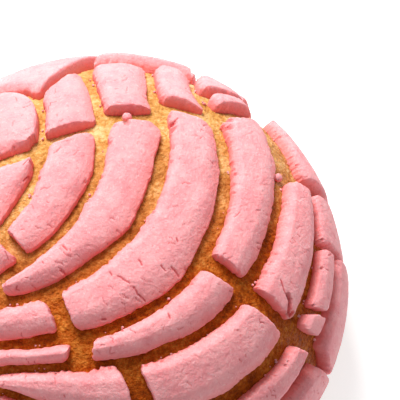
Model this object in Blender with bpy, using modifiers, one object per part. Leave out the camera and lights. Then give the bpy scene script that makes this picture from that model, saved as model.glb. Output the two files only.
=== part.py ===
"""A concha: a round sweet bun under a sugar paste that is scored in rings round a whorl.

Metres, +Z up. The origin is the middle of the flat base. The paste is laid out as a flat disc, scored there,
and then draped over the dome, so every score line is given on the flat disc.
"""

import math

import bmesh
import bpy
import numpy as np

MM = 0.001

# The dome, measured over the paste
WIDE_RADIUS = 55 * MM  # half the bun's width
WIDE_HEIGHT = 14 * MM  # the widest line, above the base
CROWN = 41 * MM  # rise from the widest line to the top
CROWN_FULLNESS = 2.3  # 2 would be an ellipse
FLANK_FULLNESS = 4.5  # the side below the widest line is squarer
OUTLINE_POINTS = 1500
OUTLINE_CROWDING = 0.8  # below 1, the outline's points lie closer towards the poles

# The paste
PASTE = 3.1 * MM  # thickness at a tile's edge rows
CROWNING = 0.25 * MM  # how much thicker a tile is along its middle
CROWNING_RUN = 4 * MM  # inset over which it thickens
BED = 0.5 * MM  # clearance between a tile and the bread
SHOULDER = ((0.0, 0.48), (1.0 * MM, 0.88), (2.6 * MM, 1.0))  # inset from the edge, share of the height
CORNER = 0.9 * MM  # how far a tile's corners are drawn in
SHOULDER_SHARE = 0.39  # most of a narrow tile's width that one shoulder takes up
TILE_STEP = 7 * MM  # longest mesh step along a tile

# The bread
BREAD_FLANK = 0.7 * MM  # how far the bare side stays inside the dome's outline
BREAD_TURNS = 52
BREAD_FULLNESS = 2.6  # how square the bare side is towards the base
BASE_RADIUS = 45.5 * MM
BREAD_LAP = 0.8  # how far the bread's dome reaches on under the paste's lower edge, in millimetres
BREAD_STEP = 2.4 * MM  # drop from there to the first row of the bare side
BREAD_ROWS = 1.3  # how much the rows of the bare side crowd towards the base
BASE_RING = 0.55  # share of the base's radius where its inner row lies

# The scored disc. Bearings are degrees anticlockwise from +X, reaches are millimetres from the whorl.
# A score line of the whorl is a ring: at each bearing, the reach of its middle and its width.
WHORL = np.array((-28.0, 10.0))
SKIRT = 61.8  # reach from the disc's middle of the line where the skirt tiles start
# Width of that line in millimetres, at bearings from the disc's middle
SKIRT_GROOVE = {
    -180: 3.2, -33: 3.2, -28: 5, -24: 5, -20: 3.2, -17: 2.4, -13: 1.9, -4: 1.5, 5: 1.9, 9: 2.4, 14: 3.2,
    180: 3.2,
}
SKIRT_CUT = 2.6  # usual width of the cuts between skirt tiles
HEM = 78.6  # usual reach from the disc's middle of the paste's lower edge
HEM_SWING = 1.4  # how far the lower edge strays from it
HEM_WAVES = ((3, 60, 0.6), (8, 0, 0.4))  # waves of that stray: how many a turn, degrees of lead, share
RINGS = {
    "eye": {
        -298: (27.4, 2), -285: (28.8, 2.4), -270: (30, 3), -225: (21, 2.8), -180: (15, 2.6),
        -135: (15, 2.6), -90: (15.6, 3), -60: (13, 2.8), -35: (11.9, 2.8), -8: (12.6, 2.4),
        20: (15.5, 1.8), 44: (19.8, 2.3), 66: (28, 2.8), 90: (31, 3),
    },
    "first": {
        -180: (37, 2.5), -150: (31, 2.8), -120: (29.5, 2.8), -95: (30, 2.6), -76: (24.2, 2.7),
        -60: (23.1, 2.6), -28: (24, 2.3), 0: (26.7, 1.9), 25: (30.9, 2.6), 47: (37.5, 2.7),
        60: (44.6, 3.4), 72: (57, 3.4),
    },
    "second": {
        -180: (37, 2.5), -150: (31, 2.8), -120: (29.5, 2.8), -95: (30, 2.6), -75: (29.5, 2.7),
        -64: (30.8, 2.8), -42: (33.5, 2.8), -20: (37.5, 3), 0: (40.8, 3.2), 17: (44.4, 2.7),
        36: (48.9, 3), 42: (53.4, 2.6), 48: (59.2, 2.8),
    },
    "third": {
        -150: (47, 3), -135: (43, 3), -120: (40.5, 3), -90: (38, 2.6), -79: (38.5, 2.2), -60: (42.9, 2.7),
        -45: (47.5, 2.6), -28: (52.3, 2.5), -10: (55, 3.2), 8: (57, 3.6), 22: (58.5, 4), 35: (61.6, 2.8),
        45: (74.6, 3.2),
    },
    "fourth": {
        -130: (54, 3), -105: (46.5, 3), -81: (44.2, 2), -62: (48.8, 2.1), -47: (56.6, 2.7), -30: (63.8, 2.9),
        -14: (67.6, 3.2), 0: (70.3, 3.2), 10: (73.1, 3.5), 20: (74.6, 3.8), 28: (76.8, 4), 33: (83, 4),
    },
    "fifth": {
        -120: (60, 3), -105: (53, 3), -82: (49.5, 2.2), -70: (56.6, 2.6), -56: (67.9, 2.8), -40: (77.4, 4.2),
        -27: (81.2, 4.4), -20: (81.6, 3.8), -8: (82.3, 3.4), 0: (82.3, 1.8), 8: (82.2, 1.8),
    },
    "sixth": {-105: (57.6, 3), -90: (59, 3), -75: (64.5, 3.2), -60: (73.8, 3.2), -44: (82.4, 3.4)},
    "shore": {5: (80.6, 3), 9: (78.4, 3), 13: (78.2, 3), 18: (78.4, 3), 30: (78.6, 3)},
    "brow": {36: (65.2, 4.2), 46: (57.8, 4.2), 60: (42.8, 3.6)},
}
# Each band is an inner ring, an outer ring and the cuts across it. A cut is its bearing at the inner ring,
# its bearing at the outer ring, and its width in millimetres. A tile lies between each cut and the next.
BANDS = {
    "core": (
        "eye", "first",
        ((65.5, 60.5, 4.2), (32, 27, 2.8), (-63.7, -58.3, 2.5), (-119, -113, 3.4), (-169, -167, 3.4)),
    ),
    "west": ("eye", "skirt", ((-169, -167, 3.4), (-209, -211, 3.2), (-251, -258, 3.4), (-297.5, -299, 1.6))),
    "inner": ("first", "second", ((58.5, 47.4, 4), (29.6, 23.6, 4), (-76.4, -75.4, 1.4))),
    "middle": (
        "second", "third",
        (
            (47, 38.4, 2.4), (26.9, 21, 4.8), (-57, -59, 3.6), (-99.6, -96.5, 3.6), (-134, -132, 3.6),
            (-161, -161, 2.6),
        ),
    ),
    "outer": (
        "third", "fourth",
        (
            (42.6, 31.3, 1.2), (30, 27.2, 2.6), (22.2, 22.2, 5.6), (-20.2, -21.8, 3.9), (-56.7, -60.4, 4.6),
            (-93.6, -91.6, 3.6), (-125, -122, 2.6),
        ),
    ),
    "shell": (
        "fourth", "fifth",
        ((5.9, 5.5, 3), (-22.4, -23.5, 4), (-50.8, -53.8, 3.8), (-87.5, -85.5, 3.6), (-113, -110, 2.8)),
    ),
    "crest": ("shore", "hem", ((25.4, 29.6, 3), (7.2, 9.4, 1.2))),
    "wing": ("fifth", "hem", ((5.6, 8.8, 1), (-5.4, -3.2, 1.6))),
    "rim": ("fifth", "skirt", ((-5.4, -5, 1.6), (-18.2, -16.4, 1.8), (-23.4, -22.4, 5), (-47, -46, 3))),
    "front": ("fifth", "sixth", ((-47, -46, 3), (-73.3, -71.3, 3.4), (-102, -100, 2.8))),
    "lip": ("sixth", "skirt", ((-47, -46, 3), (-69.3, -67.3, 3.4), (-90, -88, 2.8))),
    "north": ("brow", "skirt", ((60, 60.5, 2.4), (38.2, 43.8, 1.4))),
}
EYE_CHORD = (28.5, 179)  # bearings on the eye of the cut between its two tiles
EYE_CUT = 3.6  # width of that cut
EYE_TIP = 0.09  # share of the eye's half that is left bare at each end
# Height of single tiles, as a share of the usual height
TILE_HEIGHT = {"skirt_01": 1.1, "skirt_02": 1.25, "north_1": 1.2, "wing_1": 0.85}
# The cuts between skirt tiles: bearing from the disc's middle at the top, bearing at the hem, and how much
# wider than usual the cut is at the top and narrower at the hem. The crest and the wing close the round.
SKIRT_CUTS = (
    (3, 3, 0), (-24.4, -23.4, 1.7), (-44, -45, 0), (-67, -66, 0.4), (-87, -88, 0), (-109, -108, -0.3),
    (-134, -135, 0), (-156, -155, 0.3), (-181, -182, 0), (-203, -202, 0.4), (-227, -228, 0),
    (-247, -246, -0.3), (-271, -271, 0.2), (-294, -293, 0), (-308, -309, 0),
)

PINK = (0.84, 0.33, 0.38, 1.0)
GOLDEN = (0.58, 0.27, 0.055, 1.0)


def superellipse(steepness, height, fullness):
    """Radius and rise on a quarter outline; steepness 1 is the far end of the axis, 0 the widest line."""
    power = 2 / fullness
    return WIDE_RADIUS * np.cos(steepness) ** power, height * np.sin(steepness) ** power


def dome_outline():
    """Reach along the surface from the top, radius, height and outward normal of the dome over the paste."""
    steps = np.linspace(0, 1, OUTLINE_POINTS) ** OUTLINE_CROWDING * math.pi / 2
    crown_r, crown_z = superellipse(steps[::-1], CROWN, CROWN_FULLNESS)
    flank_r, flank_z = superellipse(steps[1:-1], WIDE_HEIGHT, FLANK_FULLNESS)
    crown_r[0] = 0.0
    radius = np.concatenate((crown_r, flank_r))
    height = np.concatenate((WIDE_HEIGHT + crown_z, WIDE_HEIGHT - flank_z))
    reach = np.concatenate(((0.0,), np.cumsum(np.hypot(np.diff(radius), np.diff(height)))))
    slope_r, slope_z = np.gradient(radius, reach), np.gradient(height, reach)
    length = np.hypot(slope_r, slope_z)
    return reach, radius, height, -slope_z / length, slope_r / length


OUTLINE = dome_outline()


def drape(point, lift):
    """The place on the dome of a point of the flat disc, lifted off the bread by a height in metres."""
    reach = math.hypot(*point) * MM
    turn = math.atan2(point[1], point[0])
    radius, height, normal_r, normal_z = (np.interp(reach, OUTLINE[0], column) for column in OUTLINE[1:])
    radius += normal_r * (lift - PASTE)
    height += normal_z * (lift - PASTE)
    return radius * math.cos(turn), radius * math.sin(turn), height


def toward(bearing):
    angle = math.radians(bearing)
    return np.array((math.cos(angle), math.sin(angle)))


def circle_reach(circle, bearing):
    """Distance from the whorl, along a bearing, to a circle round the disc's middle."""
    along = WHORL @ toward(bearing)
    return -along + math.sqrt(along**2 + circle**2 - WHORL @ WHORL)


def smooth(knots, x):
    """Reach and width of one ring at a bearing, on a smooth curve through its knots."""
    xs = np.array(sorted(knots), float)
    ys = np.array([knots[k] for k in sorted(knots)], float)
    slopes = np.gradient(ys, xs, axis=0)
    i = int(np.clip(np.searchsorted(xs, x) - 1, 0, len(xs) - 2))
    step = xs[i + 1] - xs[i]
    t = (x - xs[i]) / step
    start = (2 * t**3 - 3 * t**2 + 1) * ys[i] + (t**3 - 2 * t**2 + t) * step * slopes[i]
    return start + (3 * t**2 - 2 * t**3) * ys[i + 1] + (t**3 - t**2) * step * slopes[i + 1]


def skirt_groove(bearing):
    """Width of the line where the skirt tiles start, at a bearing from the disc's middle."""
    return float(np.interp((bearing + 180) % 360 - 180, list(SKIRT_GROOVE), list(SKIRT_GROOVE.values())))


def ring_at(ring, bearing):
    skirt = circle_reach(SKIRT, bearing)
    if ring == "skirt":
        spot = WHORL + skirt * toward(bearing)
        return skirt, skirt_groove(math.degrees(math.atan2(spot[1], spot[0])))
    if ring == "hem":
        return circle_reach(HEM, bearing), 0.0
    reach, width = smooth(RINGS[ring], bearing)
    return min(reach, skirt), width


def ring_side(ring, start, end, side):
    """A tile's side along a ring, as a function of the share of its length.

    start and end are (bearing, trim), and side is 1 on the ring's outside or -1 on its inside.
    """

    def at(share):
        first = start[0] - math.degrees(start[1] / ring_at(ring, start[0])[0])
        last = end[0] + math.degrees(end[1] / ring_at(ring, end[0])[0])
        bearing = first + (last - first) * share
        reach, width = ring_at(ring, bearing)
        return WHORL + (reach + side * width / 2) * toward(bearing)

    return at


def between_cuts(start, end, circle, share):
    """A bearing on a circle round the disc's middle; start and end are (bearing, trim)."""
    first = start[0] - math.degrees(start[1] / circle)
    last = end[0] + math.degrees(end[1] / circle)
    return first + (last - first) * share


def hem_side(start, end):
    """A skirt tile's lower side, which strays up and down round the bun."""

    def at(share):
        bearing = between_cuts(start, end, HEM, share)
        stray = sum(math.sin(math.radians(many * bearing + lead)) * part for many, lead, part in HEM_WAVES)
        return (HEM + HEM_SWING * stray) * toward(bearing)

    return at


def skirt_side(start, end):
    """A skirt tile's upper side."""

    def at(share):
        bearing = between_cuts(start, end, SKIRT, share)
        return (SKIRT + skirt_groove(bearing) / 2) * toward(bearing)

    return at


def chord_side(first, last, shift):
    """The eye's cut: a straight side between two bearings of the eye, moved sideways by shift."""
    ends = [WHORL + ring_at("eye", b if b <= 90 else b - 360)[0] * toward(b) for b in (first, last)]
    along = ends[1] - ends[0]
    across = np.array((-along[1], along[0])) / math.hypot(*along)

    def at(share):
        return ends[0] + along * (EYE_TIP + (1 - 2 * EYE_TIP) * share) + across * shift

    return at


def eye_side(first, last):
    def at(share):
        bearing = first + (last - first) * (EYE_TIP + (1 - 2 * EYE_TIP) * share)
        reach, width = ring_at("eye", bearing if bearing <= 90 else bearing - 360)
        return WHORL + (reach - width / 2) * toward(bearing)

    return at


def squeeze(length):
    """How much narrower the shoulders are on a length with little room for them."""
    return min(1.0, SHOULDER_SHARE * length / SHOULDER[-1][0])


def edge_rows(length, step):
    """Distances from a tile's edge, in metres, of the mesh rows across a length: close at both shoulders."""
    insets = [inset * squeeze(length) for inset, _ in SHOULDER]
    middle = max(1, math.ceil((length - 2 * insets[-1]) / step))
    inside = [insets[-1] + (length - 2 * insets[-1]) * n / middle for n in range(1, middle)]
    return insets + inside + [length - inset for inset in reversed(insets)]


def shoulder(distance):
    insets, shares = zip(*SHOULDER)
    return float(np.interp(distance, insets, shares))


def corner_pull(edge, size, other_edge, other_size):
    """How far a row moves in from its edge, close to the corner that this edge makes with the other."""
    room = SHOULDER[-1][0] * squeeze(other_size)
    return CORNER * squeeze(size) * max(0.0, 1 - other_edge / room) ** 2 * (1 - 2 * edge / size)


def mean_length(side, pieces=24):
    points = [side(n / pieces) for n in range(pieces + 1)]
    return sum(math.dist(a, b) for a, b in zip(points, points[1:])) * MM


def paste_tile(name, near, far, collection, material):
    """A tile between two sides of the flat disc: a grid, extruded, rounded at its shoulders and draped."""
    width = np.mean([math.dist(near(n / 12), far(n / 12)) for n in range(13)]) * MM
    length = (mean_length(near) + mean_length(far)) / 2
    across, along = edge_rows(width, TILE_STEP), edge_rows(length, TILE_STEP)
    mesh = bmesh.new()
    bmesh.ops.create_grid(mesh, x_segments=len(across) - 1, y_segments=len(along) - 1, size=0.5)
    floor = set(mesh.verts)
    bmesh.ops.extrude_face_region(mesh, geom=mesh.faces[:])
    for vert in mesh.verts:
        a = across[round((vert.co.x + 0.5) * (len(across) - 1))]
        b = along[round((vert.co.y + 0.5) * (len(along) - 1))]
        edge_a, edge_b = min(a, width - a), min(b, length - b)
        u = (a + math.copysign(corner_pull(edge_a, width, edge_b, length), width / 2 - a)) / width
        v = (b + math.copysign(corner_pull(edge_b, length, edge_a, width), length / 2 - b)) / length
        start, end = near(v), far(v)
        spot = start + (end - start) * u
        full = PASTE + CROWNING * min(1.0, edge_a / CROWNING_RUN) - BED
        rise = shoulder(edge_a) * shoulder(edge_b) * full * TILE_HEIGHT.get(name, 1.0)
        vert.co = drape(spot, BED if vert in floor else BED + rise)
    bmesh.ops.triangulate(mesh, faces=mesh.faces)
    return finish(f"paste_{name}", mesh, collection, material)


def bread_outline(rows_over, rows_side):
    """Radius and height of the bread, from the top to the middle of the base."""
    under_hem = (HEM + HEM_SWING + BREAD_LAP) * MM
    points = [(0.0, drape((0.0, 0.0), 0.0)[2])]
    for n in range(1, rows_over + 1):
        reach = under_hem * n / rows_over
        x, _, z = drape((reach / MM, 0.0), 0.0)
        points.append((x, z))
    start = points[-1][1] - BREAD_STEP
    for n in range(rows_side + 1):
        height = start * (1 - n / rows_side) ** BREAD_ROWS
        share = math.sqrt(1 - ((WIDE_HEIGHT - height) / WIDE_HEIGHT) ** BREAD_FULLNESS)
        points.append((BASE_RADIUS + (WIDE_RADIUS - BREAD_FLANK - BASE_RADIUS) * share, height))
    points += [(BASE_RADIUS * BASE_RING, 0.0), (0.0, 0.0)]
    return points


def bread(collection, material):
    """The bun itself: its outline, turned about the middle."""
    outline = bread_outline(rows_over=16, rows_side=5)
    points = [(radius, 0.0, height) for radius, height in outline]
    data = bpy.data.meshes.new("bread")
    data.from_pydata(points, [(n, n + 1) for n in range(len(points) - 1)], [])
    data.materials.append(material)
    thing = bpy.data.objects.new("bread", data)
    collection.objects.link(thing)
    turned = thing.modifiers.new("turned", "SCREW")
    turned.steps = BREAD_TURNS
    turned.render_steps = BREAD_TURNS
    turned.use_merge_vertices = True
    turned.merge_threshold = 0.01 * MM
    turned.use_smooth_shade = True
    return thing


def finish(name, mesh, collection, material):
    bmesh.ops.recalc_face_normals(mesh, faces=mesh.faces)
    if mesh.calc_volume(signed=True) < 0:
        bmesh.ops.reverse_faces(mesh, faces=mesh.faces)
    data = bpy.data.meshes.new(name)
    mesh.to_mesh(data)
    mesh.free()
    data.materials.append(material)
    data.shade_smooth()
    data.set_sharp_from_angle(angle=math.radians(40))
    thing = bpy.data.objects.new(name, data)
    collection.objects.link(thing)
    return thing


def baked(name, colour, roughness):
    material = bpy.data.materials.new(name)
    material.use_nodes = True
    shader = material.node_tree.nodes["Principled BSDF"]
    shader.inputs["Base Color"].default_value = colour
    shader.inputs["Roughness"].default_value = roughness
    shader.inputs["Metallic"].default_value = 0.0
    return material


def band_tiles(name, collection, material):
    """The tiles of one band, numbered from its first cut on."""
    inner, outer, cuts = BANDS[name]
    for n, (start, end) in enumerate(zip(cuts, cuts[1:]), 1):
        near = ring_side(inner, (start[0], start[2] / 2), (end[0], end[2] / 2), 1)
        far = ring_side(outer, (start[1], start[2] / 2), (end[1], end[2] / 2), -1)
        paste_tile(f"{name}_{n}", near, far, collection, material)


def eye_tiles(collection, material):
    first, last = EYE_CHORD
    for n, (end, shift) in enumerate(((last, -EYE_CUT / 2), (last - 360, EYE_CUT / 2)), 1):
        cut = chord_side(first, last, shift)
        paste_tile(f"eye_{n}", cut, eye_side(first, end), collection, material)


def skirt_tiles(collection, material):
    for n, (start, end) in enumerate(zip(SKIRT_CUTS, SKIRT_CUTS[1:]), 1):
        near = skirt_side(*((top, (SKIRT_CUT + flare) / 2) for top, _, flare in (start, end)))
        far = hem_side(*((low, (SKIRT_CUT - flare) / 2) for _, low, flare in (start, end)))
        paste_tile(f"skirt_{n:02d}", near, far, collection, material)


def main():
    for thing in list(bpy.data.objects):
        bpy.data.objects.remove(thing)
    collection = bpy.data.collections.new("concha")
    bpy.context.scene.collection.children.link(collection)
    crust = baked("bread_crust", GOLDEN, 0.45)
    paste = baked("sugar_paste", PINK, 0.75)
    bread(collection, crust)
    eye_tiles(collection, paste)
    for name in BANDS:
        band_tiles(name, collection, paste)
    skirt_tiles(collection, paste)


main()
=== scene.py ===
import math

import bmesh
import bpy
import numpy as np
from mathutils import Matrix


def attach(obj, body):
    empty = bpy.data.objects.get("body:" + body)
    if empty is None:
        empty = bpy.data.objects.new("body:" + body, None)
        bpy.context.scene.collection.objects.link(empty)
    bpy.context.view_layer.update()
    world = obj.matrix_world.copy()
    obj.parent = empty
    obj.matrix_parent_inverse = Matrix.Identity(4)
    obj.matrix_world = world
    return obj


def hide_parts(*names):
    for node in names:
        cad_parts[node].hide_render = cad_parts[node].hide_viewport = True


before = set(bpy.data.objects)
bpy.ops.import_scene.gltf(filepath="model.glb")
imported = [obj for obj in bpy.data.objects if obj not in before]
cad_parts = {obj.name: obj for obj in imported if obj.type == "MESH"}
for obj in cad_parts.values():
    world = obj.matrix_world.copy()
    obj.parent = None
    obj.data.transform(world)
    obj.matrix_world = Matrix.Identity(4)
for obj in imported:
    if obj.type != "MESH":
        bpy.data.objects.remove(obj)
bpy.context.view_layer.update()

mm = 0.001
tiny = 1e-9  # keeps a division away from zero

# The scored disc, in millimetres, as the part's source lays it out: bearings in degrees anticlockwise
# from +X, reaches from the whorl, and the disc draped over the dome afterwards.
dome = {
    "wideRadius": 55.0,  # half the bun's width
    "wideHeight": 14.0,  # the widest line, above the floor
    "crown": 41.0,  # rise from there to the top
    "crownFullness": 2.3,  # 2 would be an ellipse
    "flankFullness": 4.5,
    "outlinePoints": 1500,
    "outlineCrowding": 0.8,  # below 1, the points lie closer towards the poles
    "paste": 3.1,  # thickness
    "skirt": 61.8,  # reach from the disc's middle of the line above the skirt tiles
    "skirtCut": 2.6,
    "hem": 78.6,  # reach from there of the paste's lower edge
    "hemSwing": 1.4,
    "hemWaves": ((3, 60, 0.6), (8, 0, 0.4)),  # how many a turn, degrees of lead, share of the swing
}
whorl = np.array((-28.0, 10.0))
rings = {  # bearing: reach of the line's middle, width
    "eye": {
        -298: (27.4, 2), -285: (28.8, 2.4), -270: (30, 3), -225: (21, 2.8), -180: (15, 2.6), -135: (15, 2.6),
        -90: (15.6, 3), -60: (13, 2.8), -35: (11.9, 2.8), -8: (12.6, 2.4), 20: (15.5, 1.8), 44: (19.8, 2.3),
        66: (28, 2.8), 90: (31, 3),
    },
    "first": {
        -180: (37, 2.5), -150: (31, 2.8), -120: (29.5, 2.8), -95: (30, 2.6), -76: (24.2, 2.7),
        -60: (23.1, 2.6), -28: (24, 2.3), 0: (26.7, 1.9), 25: (30.9, 2.6), 47: (37.5, 2.7), 60: (44.6, 3.4),
        72: (57, 3.4),
    },
    "second": {
        -180: (37, 2.5), -150: (31, 2.8), -120: (29.5, 2.8), -95: (30, 2.6), -75: (29.5, 2.7),
        -64: (30.8, 2.8), -42: (33.5, 2.8), -20: (37.5, 3), 0: (40.8, 3.2), 17: (44.4, 2.7), 36: (48.9, 3),
        42: (53.4, 2.6), 48: (59.2, 2.8),
    },
    "third": {
        -150: (47, 3), -135: (43, 3), -120: (40.5, 3), -90: (38, 2.6), -79: (38.5, 2.2), -60: (42.9, 2.7),
        -45: (47.5, 2.6), -28: (52.3, 2.5), -10: (55, 3.2), 8: (57, 3.6), 22: (58.5, 4), 35: (61.6, 2.8),
        45: (74.6, 3.2),
    },
    "fourth": {
        -130: (54, 3), -105: (46.5, 3), -81: (44.2, 2), -62: (48.8, 2.1), -47: (56.6, 2.7), -30: (63.8, 2.9),
        -14: (67.6, 3.2), 0: (70.3, 3.2), 10: (73.1, 3.5), 20: (74.6, 3.8), 28: (76.8, 4), 33: (83, 4),
    },
    "fifth": {
        -120: (60, 3), -105: (53, 3), -82: (49.5, 2.2), -70: (56.6, 2.6), -56: (67.9, 2.8), -40: (77.4, 4.2),
        -27: (81.2, 4.4), -20: (81.6, 3.8), -8: (82.3, 3.4), 0: (82.3, 1.8), 8: (82.2, 1.8),
    },
    "sixth": {-105: (57.6, 3), -90: (59, 3), -75: (64.5, 3.2), -60: (73.8, 3.2), -44: (82.4, 3.4)},
    "shore": {5: (80.6, 3), 9: (78.4, 3), 13: (78.2, 3), 18: (78.4, 3), 30: (78.6, 3)},
    "brow": {36: (65.2, 4.2), 46: (57.8, 4.2), 60: (42.8, 3.6)},
}
bands = {  # inner ring, outer ring, cuts as bearing inside, bearing outside, width
    "core": (
        "eye", "first",
        ((65.5, 60.5, 4.2), (32, 27, 2.8), (-63.7, -58.3, 2.5), (-119, -113, 3.4), (-169, -167, 3.4)),
    ),
    "west": ("eye", "skirt", ((-169, -167, 3.4), (-209, -211, 3.2), (-251, -258, 3.4), (-297.5, -299, 1.6))),
    "inner": ("first", "second", ((58.5, 47.4, 4), (29.6, 23.6, 4), (-76.4, -75.4, 1.4))),
    "middle": (
        "second", "third",
        (
            (47, 38.4, 2.4), (26.9, 21, 4.8), (-57, -59, 3.6), (-99.6, -96.5, 3.6), (-134, -132, 3.6),
            (-161, -161, 2.6),
        ),
    ),
    "outer": (
        "third", "fourth",
        (
            (42.6, 31.3, 1.2), (30, 27.2, 2.6), (22.2, 22.2, 5.6), (-20.2, -21.8, 3.9), (-56.7, -60.4, 4.6),
            (-93.6, -91.6, 3.6), (-125, -122, 2.6),
        ),
    ),
    "shell": (
        "fourth", "fifth",
        ((5.9, 5.5, 3), (-22.4, -23.5, 4), (-50.8, -53.8, 3.8), (-87.5, -85.5, 3.6), (-113, -110, 2.8)),
    ),
    "crest": ("shore", "hem", ((25.4, 29.6, 3), (7.2, 9.4, 1.2))),
    "wing": ("fifth", "hem", ((5.6, 8.8, 1), (-5.4, -3.2, 1.6))),
    "rim": ("fifth", "skirt", ((-5.4, -5, 1.6), (-18.2, -16.4, 1.8), (-23.4, -22.4, 5), (-47, -46, 3))),
    "front": ("fifth", "sixth", ((-47, -46, 3), (-73.3, -71.3, 3.4), (-102, -100, 2.8))),
    "lip": ("sixth", "skirt", ((-47, -46, 3), (-69.3, -67.3, 3.4), (-90, -88, 2.8))),
    "north": ("brow", "skirt", ((60, 60.5, 2.4), (38.2, 43.8, 1.4))),
}
eyeTiles = {
    "chord": (28.5, 179),  # bearings on the eye of the cut between its two tiles
    "cut": 3.6,
    "tip": 0.09,  # share of a half that is left bare at each end
}
tileHeight = {"skirt_01": 1.1, "skirt_02": 1.25, "north_1": 1.2, "wing_1": 0.85}  # share of the usual height
# Width of the line above the skirt tiles, at bearings from the disc's middle
grooveWidths = {
    -180: 3.2, -33: 3.2, -28: 5, -24: 5, -20: 3.2, -17: 2.4, -13: 1.9, -4: 1.5, 5: 1.9, 9: 2.4, 14: 3.2,
    180: 3.2,
}
# Bearing at the top, bearing at the hem, and how much wider the cut is at the top and narrower at the hem
skirtCuts = (
    (3, 3, 0), (-24.4, -23.4, 1.7), (-44, -45, 0), (-67, -66, 0.4), (-87, -88, 0), (-109, -108, -0.3),
    (-134, -135, 0), (-156, -155, 0.3), (-181, -182, 0), (-203, -202, 0.4), (-227, -228, 0),
    (-247, -246, -0.3), (-271, -271, 0.2), (-294, -293, 0), (-308, -309, 0),
)


# Laying out the disc and draping it
def superellipse(steepness, height, fullness):
    power = 2 / fullness
    return dome["wideRadius"] * np.cos(steepness) ** power, height * np.sin(steepness) ** power


def domeOutline():
    # reach along the surface from the top, radius, height and outward normal
    steps = np.linspace(0, 1, dome["outlinePoints"]) ** dome["outlineCrowding"] * math.pi / 2
    crownR, crownZ = superellipse(steps[::-1], dome["crown"], dome["crownFullness"])
    flankR, flankZ = superellipse(steps[1:-1], dome["wideHeight"], dome["flankFullness"])
    crownR[0] = 0.0
    radius = np.concatenate((crownR, flankR))
    height = np.concatenate((dome["wideHeight"] + crownZ, dome["wideHeight"] - flankZ))
    reach = np.concatenate(((0.0,), np.cumsum(np.hypot(np.diff(radius), np.diff(height)))))
    slopeR, slopeZ = np.gradient(radius, reach), np.gradient(height, reach)
    length = np.hypot(slopeR, slopeZ)
    return reach, radius, height, -slopeZ / length, slopeR / length


outline = domeOutline()


def drape(spots, lift):
    # spots: (..., 2) on the flat disc in mm; lift: mm above the bread; gives metres
    reach = np.hypot(spots[..., 0], spots[..., 1])
    turn = np.arctan2(spots[..., 1], spots[..., 0])
    radius, height, normalR, normalZ = (np.interp(reach, outline[0], column) for column in outline[1:])
    radius = radius + normalR * (lift - dome["paste"])
    height = height + normalZ * (lift - dome["paste"])
    return np.stack((radius * np.cos(turn), radius * np.sin(turn), height), -1) * mm


def toward(bearing):
    angle = np.radians(bearing)
    return np.stack((np.cos(angle), np.sin(angle)), -1)


def fromWhorl(path):
    return np.array([whorl + reach * toward(bearing) for bearing, reach in path])


def circleReach(circle, bearing):
    # from the whorl, along a bearing, to a circle round the disc's middle
    along = -(toward(bearing) @ whorl)
    return along + np.sqrt(along**2 + circle**2 - whorl @ whorl)


def knotCurve(knots, x):
    xs = np.array(sorted(knots), float)
    ys = np.array([knots[k] for k in sorted(knots)], float)
    slopes = np.gradient(ys, xs, axis=0)
    i = np.clip(np.searchsorted(xs, x) - 1, 0, len(xs) - 2)
    step = (xs[i + 1] - xs[i])[..., None]
    t = (x - xs[i])[..., None] / step
    start = (2 * t**3 - 3 * t**2 + 1) * ys[i] + (t**3 - 2 * t**2 + t) * step * slopes[i]
    return start + (3 * t**2 - 2 * t**3) * ys[i + 1] + (t**3 - t**2) * step * slopes[i + 1]


def skirtGroove(bearing):
    return np.interp((bearing + 180) % 360 - 180, list(grooveWidths), list(grooveWidths.values()))


def ringAt(ring, bearing):
    bearing = np.asarray(bearing, float)
    skirt = circleReach(dome["skirt"], bearing)
    if ring == "skirt":
        spot = whorl + skirt[..., None] * toward(bearing)
        return skirt, skirtGroove(np.degrees(np.arctan2(spot[..., 1], spot[..., 0])))
    if ring == "hem":
        return circleReach(dome["hem"], bearing), np.zeros_like(skirt)
    reach, width = np.moveaxis(knotCurve(rings[ring], bearing), -1, 0)
    return np.minimum(reach, skirt), width


def ringSide(ring, start, end, side):
    # start and end are (bearing, trim in mm); side is 1 on the ring's outside, -1 on its inside
    first = start[0] - math.degrees(start[1] / ringAt(ring, start[0])[0])
    last = end[0] + math.degrees(end[1] / ringAt(ring, end[0])[0])

    def at(share):
        bearing = first + (last - first) * share
        reach, width = ringAt(ring, bearing)
        return whorl + (reach + side * width / 2)[..., None] * toward(bearing)

    return at


def betweenCuts(start, end, circle, share):
    first = start[0] - math.degrees(start[1] / circle)
    last = end[0] + math.degrees(end[1] / circle)
    return first + (last - first) * share


def skirtSide(start, end):
    def at(share):
        bearing = betweenCuts(start, end, dome["skirt"], share)
        return (dome["skirt"] + skirtGroove(bearing) / 2)[..., None] * toward(bearing)

    return at


def hemSide(start, end):
    def at(share):
        bearing = betweenCuts(start, end, dome["hem"], share)
        stray = sum(np.sin(np.radians(many * bearing + lead)) * part for many, lead, part in dome["hemWaves"])
        return (dome["hem"] + dome["hemSwing"] * stray)[..., None] * toward(bearing)

    return at


def wrapEye(bearing):
    # the eye's knots run from -298 to 90 degrees
    return np.where(np.asarray(bearing) <= 90, bearing, np.asarray(bearing) - 360)


def withoutTips(share):
    return eyeTiles["tip"] + (1 - 2 * eyeTiles["tip"]) * share


def chordSide(first, last, shift):
    ends = [whorl + ringAt("eye", wrapEye(b))[0] * toward(b) for b in (first, last)]
    along = ends[1] - ends[0]
    across = np.array((-along[1], along[0])) / math.hypot(*along)

    def at(share):
        return ends[0] + withoutTips(share)[..., None] * along + across * shift

    return at


def eyeSide(first, last):
    def at(share):
        bearing = first + (last - first) * withoutTips(share)
        reach, width = ringAt("eye", wrapEye(bearing))
        return whorl + (reach - width / 2)[..., None] * toward(bearing)

    return at


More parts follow.
